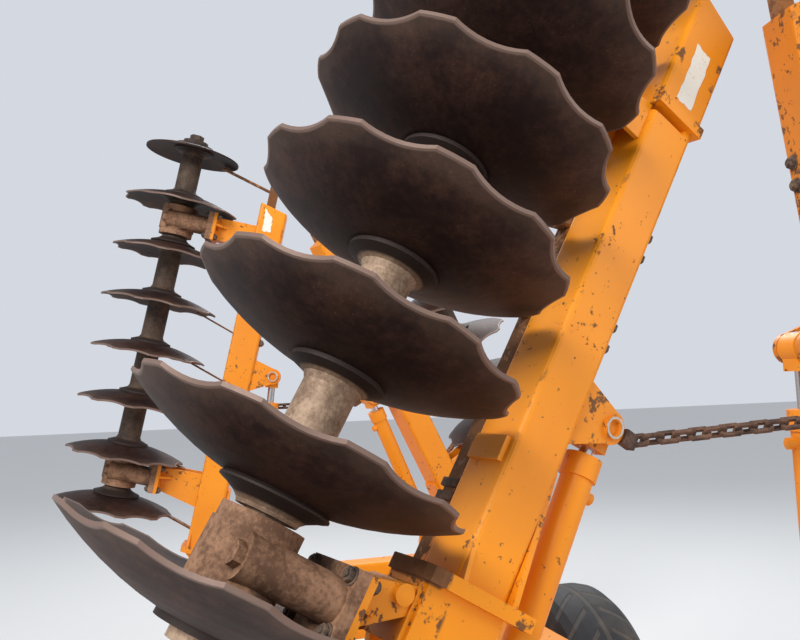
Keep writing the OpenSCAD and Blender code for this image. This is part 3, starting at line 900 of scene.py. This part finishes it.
# Tones of the spools' iron: tan on the front gangs, and darker on the rear gangs, partly as painted shade
TAN = ((0.22, 0.135, 0.085), (0.50, 0.35, 0.235))
DARK_SPOOL_AND_PAINTED_SHADE = ((0.035, 0.021, 0.015), (0.11, 0.068, 0.043))
CHAIN = Rust("chain_rust", (0.05, 0.028, 0.02), (0.17, 0.09, 0.055), 30.0)
ZINC = Metal("zinc", (0.62, 0.62, 0.60), 0.3)
STEEL = Rust("bolt_steel", (0.05, 0.034, 0.026), (0.20, 0.135, 0.09), 60.0)
STICKER = Paper("sticker")
FINISHES = Finishes()


def paint_node(node: bpy.types.Object, material: bpy.types.Material) -> None:
    """Puts a better material in every slot of a CAD node.

    Args:
        node: The CAD node.
        material: The material.
    """
    if not node.material_slots:
        node.data.materials.append(material)
    for slot in node.material_slots:
        slot.material = material


def rod_paint(ram: str, joints: Sequence[dict], rod_r: float) -> RodPaint:
    """The finish of a ram's rod, polished along the ram's axis.

    Args:
        ram: The ram's name.
        joints: The joints of the record.
        rod_r: The rod's radius in metres.

    Returns:
        The finish.
    """
    known = {joint["name"]: joint for joint in joints}
    start = tuple(known[ram + "_pivot"]["pos_m"])
    way = tuple(known[ram + "_slide"]["axis"])
    paint = (ORANGE.colour, ORANGE.faded, ORANGE.wear)
    return RodPaint("rod_" + ram, *paint, specks=0.6, start=start, way=way, rod_r=rod_r)


def beam_paint(wing: Wing) -> BeamPaint:
    """The finish of a wing's beam, which is darker and more worn on the front left.

    Args:
        wing: The wing.

    Returns:
        The finish.
    """
    colour, wear = (DARKER_ORANGE, OLD_WEAR) if wing is Wing.FRONT_LEFT else (ORANGE.colour, ORANGE.wear)
    return BeamPaint("beam_paint_" + wing.value, colour, ORANGE.faded, wear, specks=0.7, wing=wing)


def node_finish(name: str, joints: Sequence[dict]) -> AnyFinish:
    """The finish of a CAD node, by what its name ends with.

    Args:
        name: The node's name.
        joints: The joints of the record.

    Returns:
        The finish.
    """
    owner, _, kind = name.rpartition("_")
    if kind == "discs":
        return DiscIron("disc_iron_" + owner, Wing(owner))
    if kind == "spools":
        # The rear gangs' spools get the darker tones, which are partly painted shade
        shades = TAN if LAYOUT.hollow(Wing(owner)) > 0 else DARK_SPOOL_AND_PAINTED_SHADE
        return SpoolIron("spool_iron_" + owner, Wing(owner), shades)
    if kind == "beam":
        return beam_paint(Wing(owner))
    if kind == "rod":
        return rod_paint(owner + "_ram", joints, LIFT_ROD_R if owner == "lift" else RAM_ROD_R)
    if owner == "tyre":
        return TyreRubber("tyre_rubber_" + kind, 1 if kind == "left" else -1)
    plain = {"bearings": HUB, "eye": HUB, "chain": CHAIN, "leg": ZINC, "scrapers": WORN}
    return plain.get(kind, ORANGE)


def dress(nodes: dict[str, bpy.types.Object], joints: Sequence[dict]) -> None:
    """Gives the CAD nodes their finishes.

    Args:
        nodes: The CAD nodes by name.
        joints: The joints of the record.
    """
    for name, node in nodes.items():
        paint_node(node, FINISHES.get(node_finish(name, joints)))


def clean_start() -> None:
    """Deselects everything, because an operator acts on all that is selected."""
    bpy.ops.object.select_all(action="DESELECT")


def pick(obj: bpy.types.Object) -> None:
    """Makes an object the only one that an operator acts on.

    Args:
        obj: The object.
    """
    clean_start()
    obj.select_set(True)
    bpy.context.view_layer.objects.active = obj


def aim(at: Vector, way: Vector) -> Matrix:
    """A place whose third axis points along a direction.

    Args:
        at: The place's origin.
        way: The direction.

    Returns:
        The place's matrix.
    """
    return Matrix.Translation(at) @ way.to_track_quat("Z", "Y").to_matrix().to_4x4()


@dataclass
class Pattern:
    """A small part that is modelled once, on its seat at the origin, and then copied."""

    name: str
    steps: list[bpy.types.Object] = field(default_factory=list)

    def turned(self, radius: float, low: float, high: float, sides: int = 24, bevel: float = 0.0) -> None:
        """Adds a round or many-sided body with softened edges.

        Args:
            radius: Its radius over the corners.
            low: Where it starts.
            high: Where it ends.
            sides: How many sides it has.
            bevel: How wide its edges are softened.
        """
        clean_start()
        bpy.ops.mesh.primitive_cylinder_add(
            vertices=sides, radius=radius, depth=high - low, location=(0, 0, (low + high) / 2)
        )
        self.keep(bevel)

    def block(self, size: Triple, at: Triple, bevel: float = 0.0) -> None:
        """Adds a block with softened edges.

        Args:
            size: Its three sizes.
            at: Its middle.
            bevel: How wide its edges are softened.
        """
        clean_start()
        bpy.ops.mesh.primitive_cube_add(size=1, location=at, scale=size)
        self.keep(bevel)

    def ring(self, major: float, minor: float, height: float) -> None:
        """Adds a round ring.

        Args:
            major: The radius of its centre line.
            minor: The radius of its section.
            height: Where it lies.
        """
        clean_start()
        bpy.ops.mesh.primitive_torus_add(
            major_radius=major,
            minor_radius=minor,
            major_segments=36,
            minor_segments=10,
            location=(0, 0, height),
        )
        self.keep(0.0)

    def keep(self, bevel: float) -> None:
        """Softens the new body's edges and keeps it with its place in its mesh.

        Args:
            bevel: How wide the edges are softened.
        """
        body = bpy.context.object
        bpy.ops.object.transform_apply(location=True, rotation=True, scale=True)
        if bevel > 0:
            soft = body.modifiers.new("soft", "BEVEL")
            soft.width = bevel
            soft.segments = 2
            soft.limit_method = "ANGLE"
            soft.angle_limit = BEVEL_ANGLE
            bpy.ops.object.modifier_apply(modifier=soft.name)
        self.steps.append(body)

    def recess(self, rim: float, depth: float) -> None:
        """Sinks a pocket into the top of the newest body.

        Args:
            rim: How wide a rim stays around the pocket.
            depth: How deep the pocket is.
        """
        body = self.steps[-1]
        pick(body)
        top = max(v.co.z for v in body.data.vertices)
        for face in body.data.polygons:
            face.select = face.normal.z > LEVEL and abs(face.center.z - top) < SAME_HEIGHT
        bpy.ops.object.mode_set(mode="EDIT")
        bpy.ops.mesh.select_mode(type="FACE")
        bpy.ops.mesh.inset(thickness=rim)
        bpy.ops.mesh.extrude_region_move(TRANSFORM_OT_translate={"value": (0, 0, -depth)})
        bpy.ops.object.mode_set(mode="OBJECT")

    def done(self) -> None:
        """Joins the bodies into the pattern."""
        clean_start()
        for body in self.steps:
            body.select_set(True)
        bpy.context.view_layer.objects.active = self.steps[0]
        if len(self.steps) > 1:
            bpy.ops.object.join()
        whole = bpy.context.object
        whole.name = "pattern_" + self.name
        self.steps = [whole]

    def copies(self, name: str, body: str, places: Sequence[Matrix], finish: AnyFinish) -> bpy.types.Object:
        """Copies the pattern to its places on one body.

        Args:
            name: The name of the copies' object.
            body: The body that they ride on.
            places: Where the copies sit.
            finish: Their finish.

        Returns:
            The object that holds all copies.
        """
        pattern = self.steps[0]
        clean_start()
        made = []
        for place in places:
            copy = pattern.copy()
            copy.data = pattern.data.copy()
            bpy.context.collection.objects.link(copy)
            copy.matrix_world = place
            copy.select_set(True)
            made.append(copy)
        bpy.context.view_layer.objects.active = made[0]
        if len(made) > 1:
            bpy.ops.object.join()
        whole = bpy.context.object
        bpy.ops.object.transform_apply(location=True, rotation=True, scale=True)
        whole.name = name
        whole.data.name = name
        whole.data.materials.clear()
        whole.data.materials.append(FINISHES.get(finish))
        pick(whole)
        bpy.ops.object.shade_smooth_by_angle(angle=SHARP_ANGLE)
        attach(whole, body)
        return whole

    def drop(self) -> None:
        """Removes the pattern once its copies are made."""
        for body in self.steps:
            bpy.data.objects.remove(body)
        self.steps = []


def hex_bolt() -> Pattern:
    """A washer, a chamfered hexagon head and the end of the thread.

    Returns:
        The pattern, with a head 28 mm over its corners.
    """
    bolt = Pattern("bolt")
    bolt.turned(radius=0.0170, low=-SUNK, high=0.0030, sides=28, bevel=0.0006)
    bolt.turned(radius=0.0140, low=0.0025, high=0.0130, sides=6, bevel=0.0014)
    bolt.turned(radius=0.0070, low=0.0120, high=0.0175, sides=16, bevel=0.0010)
    bolt.done()
    return bolt


def set_screw() -> Pattern:
    """A bright screw with a hexagon pocket.

    Returns:
        The pattern.
    """
    screw = Pattern("screw")
    screw.turned(radius=0.0125, low=-0.0040, high=0.0025, sides=28, bevel=0.0008)
    screw.turned(radius=0.0085, low=0.0020, high=0.0090, sides=6, bevel=0.0008)
    screw.recess(rim=0.0030, depth=0.0030)
    screw.done()
    return screw


def pin_ring() -> Pattern:
    """A bright ring around a hollow pin's end.

    Returns:
        The pattern.
    """
    ring = Pattern("ring")
    ring.ring(major=0.0202, minor=0.0026, height=0.0)
    ring.done()
    return ring


def blade_clamp() -> Pattern:
    """Two collars around a scraper bar.

    Returns:
        The pattern, with the bar's length along its first axis and its outer side at the origin.
    """
    clamp = Pattern("clamp")
    for along in (-COLLAR_HALF, COLLAR_HALF):
        clamp.block(size=(0.019, 0.054, 0.054), at=(along, 0.0, -0.0195), bevel=0.0025)
    clamp.done()
    return clamp


@dataclass(frozen=True)
class Patterns:
    """The small parts that the sub-assemblies share."""

    bolt: Pattern
    screw: Pattern
    ring: Pattern
    clamp: Pattern

    def drop(self) -> None:
        """Removes all patterns once their copies are made."""
        for pattern in (self.bolt, self.screw, self.ring, self.clamp):
            pattern.drop()


@dataclass(frozen=True)
class WingFittings:
    """Small parts of one wing, placed along its beam, along its fold pin and over its beam."""

    wing: Wing
    patterns: Patterns
    # The foot plate over a bearing's flange, and the flange's bolts along and across the beam
    foot_plate: float = 0.0143
    flange_bolt: float = 0.047
    outer_bolt: float = 0.090
    inner_bolt: float = -0.046
    # The cap ring's screw along the beam and the face that it sits in
    cap_along: float = 0.054
    cap_face: float = -0.0735
    # The outer face of an ear at the ram's pin
    eye_face: float = 0.0598
    # A blade's foot from its disc, on wings that are hollow outwards and inwards
    blade_out: float = 0.139
    blade_in: float = 0.119
    # A clamp past its blade, its bolt's seat, and the scraper bar's outer side and height
    clamp_past: float = 0.034
    collar_face: float = 0.0072
    bar_out: float = 0.0578
    bar_up: float = 0.036
    # The beam's bolts across it and along it
    side_bolt: float = 0.035
    side_bolts_at: tuple[float, ...] = (0.854, 0.901, 1.038, 1.087, 1.259, 1.311)

    def seat(self, at: Triple, way: Triple, size: float = 1.0) -> Matrix:
        """A seat on the wing.

        Args:
            at: The seat's middle, along the beam, along the fold pin and over the beam.
            way: The direction out of the seat, in the same axes.
            size: The scale of what sits there.

        Returns:
            The seat's matrix in the row frame.
        """
        place = LAYOUT.matrix(self.wing)
        return aim(place @ Vector(at), place.to_3x3() @ Vector(way)) @ Matrix.Scale(size, 4)

    def add(self, what: str, pattern: Pattern, seats: Sequence[Matrix], finish: AnyFinish) -> None:
        """Copies one pattern to its seats on the wing.

        Args:
            what: The copies' name, after the wing's.
            pattern: The pattern.
            seats: The seats.
            finish: The finish.
        """
        pattern.copies(self.wing.value + "_" + what, self.wing.value + "_wing", seats, finish)

    def bearing_bolts(self) -> None:
        """Bolts the bearings' flanges to the arms' feet."""
        top = LAYOUT.gang_z + LAYOUT.flange_z + self.foot_plate
        low = LAYOUT.gang_z + LAYOUT.flange_z - LAYOUT.flange_t
        seats = []
        for u in LAYOUT.bearings():
            for step in (-self.flange_bolt, self.flange_bolt):
                seats.append(self.seat((u + step, self.outer_bolt, top), (0, 0, 1), 0.95))
                seats.append(self.seat((u + step, self.outer_bolt, low), (0, 0, -1), 0.95))
                seats.append(self.seat((u + step, self.inner_bolt, low), (0, 0, -1), 0.85))
        self.add("bearing_bolts", self.patterns.bolt, seats, STEEL)

    def cap_screws(self) -> None:
        """Sets a bright screw into each bearing's cap ring."""
        step = LAYOUT.hollow(self.wing) * self.cap_along
        seats = [self.seat((u + step, self.cap_face, LAYOUT.gang_z), (0, -1, 0)) for u in LAYOUT.bearings()]
        self.add("cap_screws", self.patterns.screw, seats, ZINC)

    def eye_rings(self) -> None:
        """Puts a bright ring around each hollow end of the ram's pin."""
        along, over = LAYOUT.eye_along, LAYOUT.eye_over
        seats = [self.seat((along, y * self.eye_face, over), (0, y, 0)) for y in (-1, 1)]
        self.add("eye_rings", self.patterns.ring, seats, ZINC)

    def scraper_clamps(self) -> None:
        """Clamps each scraper blade to its bar."""
        out = LAYOUT.hollow(self.wing)
        offset = self.blade_out if out > 0 else self.blade_in
        outer = -LAYOUT.beam_w / 2 - self.bar_out
        middle = -LAYOUT.beam_w + self.bar_up
        along = (LAYOUT.matrix(self.wing).to_3x3() @ Vector((1, 0, 0))).normalized()
        clamps, bolts = [], []
        blades = LAYOUT.disc_count - (1 if out < 0 else 0)
        for i in range(blades):
            u = LAYOUT.first_disc + i * LAYOUT.disc_pitch + out * (offset + self.clamp_past)
            seat = self.seat((u, outer, middle), (0, -1, 0))
            normal = seat.to_3x3().col[2].normalized()
            turn = Matrix((along, normal.cross(along), normal)).transposed().to_4x4()
            clamps.append(Matrix.Translation(seat.translation) @ turn)
            for step in (-COLLAR_HALF, COLLAR_HALF):
                bolts.append(self.seat((u + step, outer - self.collar_face, middle), (0, -1, 0), 0.6))
        # The clamps' darker rust is painted shade over real rust
        self.add("scraper_clamps", self.patterns.clamp, clamps, CLAMP_RUST_AND_PAINTED_SHADE)
        self.add("clamp_bolts", self.patterns.bolt, bolts, STEEL)

    def side_bolts(self) -> None:
        """Bolts on the side of the beam that faces the middle of the machine."""
        rows = (-self.side_bolt, self.side_bolt)
        seats = [self.seat((u, y, 0), (0, 0, 1)) for u in self.side_bolts_at for y in rows]
        self.add("side_bolts", self.patterns.bolt, seats, STEEL)

    def sticker(self, corners: Sequence[tuple[float, float]], side: float) -> None:
        """Lays what is left of a blank sticker on the beam's forward side.

        Args:
            corners: Its corners, along the beam and over it.
            side: Where the side is, along the fold pin.
        """
        clean_start()
        bpy.ops.mesh.primitive_circle_add(vertices=STICKER_POINTS, radius=1, fill_type="NGON")
        sheet = bpy.context.object
        sheet.name = self.wing.value + "_sticker"
        sheet.data.name = sheet.name
        rand = random.Random(SEED)
        place = LAYOUT.matrix(self.wing)
        points = [Vector(corner) for corner in corners]
        for n, vertex in enumerate(sheet.data.vertices):
            share = n / len(sheet.data.vertices) * len(points)
            start, end = points[int(share)], points[(int(share) + 1) % len(points)]
            at = start.lerp(end, share % 1)
            ragged = Vector((rand.uniform(-1, 1), rand.uniform(-1, 1))) * STICKER_RAGGED
            vertex.co = place @ Vector((at.x + ragged.x, side + STICKER_PROUD, at.y + ragged.y))
        sheet.data.materials.append(FINISHES.get(STICKER))
        out = place.to_3x3() @ Vector((0, 1, 0))
        if sheet.data.polygons[0].normal.dot(out) < 0:
            sheet.data.flip_normals()
        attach(sheet, self.wing.value + "_wing")

    def build(self) -> None:
        """Builds all of the wing's small parts."""
        self.bearing_bolts()
        self.cap_screws()
        self.eye_rings()
        self.scraper_clamps()
        self.side_bolts()
        LOG.info("fittings of the %s wing", self.wing.value)


@dataclass(frozen=True)
class WheelFittings:
    """Small parts of one road wheel."""

    side: int
    patterns: Patterns
    nuts: int = 6
    nut_size: float = 1.05
    nut_circle: float = 0.098
    face: float = 0.032

    def build(self) -> None:
        """Builds the wheel's nuts."""
        word = "left" if self.side > 0 else "right"
        hub = LAYOUT.wheel(self.side)
        way = Vector((0, self.side, 0))
        seats = []
        for n in range(self.nuts):
            turn = math.tau * n / self.nuts
            out = Vector((math.cos(turn), 0, math.sin(turn))) * self.nut_circle
            seats.append(aim(hub + out + way * self.face, way) @ Matrix.Scale(self.nut_size, 4))
        self.patterns.bolt.copies("wheel_nuts_" + word, "wheel_" + word, seats, STEEL)
        LOG.info("nuts of the %s wheel", word)


@dataclass(frozen=True)
class Lamp:
    """A soft square lamp that is aimed at the machine."""

    name: str
    spot: Triple
    size: float
    power: float

    def hang(self, target: Vector) -> None:
        """Hangs the lamp.

        Args:
            target: The point that it is aimed at.
        """
        clean_start()
        bpy.ops.object.light_add(type="AREA", location=self.spot)
        lamp = bpy.context.object
        lamp.name = "lamp_" + self.name
        lamp.data.size = self.size
        lamp.data.energy = self.power
        lamp.rotation_euler = (target - Vector(self.spot)).to_track_quat("-Z", "Y").to_euler()


@dataclass(frozen=True)
class Studio:
    """The floor, the light and the camera."""

    floor_size: float = 60
    floor_colour: Colour = (0.62, 0.62, 0.61)
    sky: Colour = (0.88, 0.92, 1.0)
    sky_strength: float = 0.75
    lit_point: Triple = (0.2, 0, 1.1)
    lamps: tuple[Lamp, ...] = (
        Lamp("key", (4.5, -5.5, 6.5), 3.0, 620.0),
        Lamp("fill", (3.5, 5.5, 4.0), 4.0, 160.0),
        Lamp("rim", (-5.5, 2.0, 6.0), 3.0, 260.0),
    )
    eye: Triple = (1.943, -1.0576, 1.649)
    right: Triple = (0.3203, 0.9469, -0.0279)
    down: Triple = (-0.0723, -0.0049, -0.9974)
    lens: float = 38.3
    sensor: float = 36.0
    nearest: float = 0.02

    def floor(self) -> None:
        """Lays the plain floor."""
        clean_start()
        bpy.ops.mesh.primitive_plane_add(size=self.floor_size, location=(0, 0, 0))
        plane = bpy.context.object
        plane.name = "floor"
        plane.data.materials.append(Shader("floor_pale").finish(self.floor_colour, 0.9))
        plane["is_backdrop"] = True

    def light(self) -> None:
        """Hangs the lamps and lights the room."""
        world = bpy.data.worlds.new("room")
        bpy.context.scene.world = world
        world.use_nodes = True
        back = world.node_tree.nodes["Background"]
        back.inputs["Color"].default_value = opaque(self.sky)
        back.inputs["Strength"].default_value = self.sky_strength
        for lamp in self.lamps:
            lamp.hang(Vector(self.lit_point))

    def camera(self) -> None:
        """Stands the camera where the picture was taken from."""
        clean_start()
        bpy.ops.object.camera_add()
        cam = bpy.context.object
        right = Vector(self.right).normalized()
        up = -Vector(self.down)
        up = (up - right * up.dot(right)).normalized()
        back = right.cross(up)
        turn = Matrix((right, up, back)).transposed().to_4x4()
        cam.matrix_world = Matrix.Translation(self.eye) @ turn
        cam.data.lens = self.lens
        cam.data.sensor_width = self.sensor
        cam.data.clip_start = self.nearest
        bpy.context.scene.camera = cam


def main() -> None:
    """Builds the scene and reports its pieces."""
    logging.basicConfig(level=logging.INFO, format="%(message)s")
    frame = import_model()
    dress(frame["nodes"], frame["record"]["behaviour"]["joints"])
    patterns = Patterns(hex_bolt(), set_screw(), pin_ring(), blade_clamp())
    for wing in Wing:
        WingFittings(wing, patterns).build()
    half = LAYOUT.beam_w / 2
    WingFittings(Wing.FRONT_RIGHT, patterns).sticker(NEAR_STICKER, half + LAYOUT.extension_over)
    WingFittings(Wing.REAR_RIGHT, patterns).sticker(FAR_STICKER, half)
    for side in (-1, 1):
        WheelFittings(side, patterns).build()
    patterns.drop()
    studio = Studio()
    studio.floor()
    studio.light()
    studio.camera()
    bpy.context.scene.view_settings.view_transform = "Standard"
    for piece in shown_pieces():
        LOG.info("piece %s", piece.name)


if __name__ == "__main__":
    main()
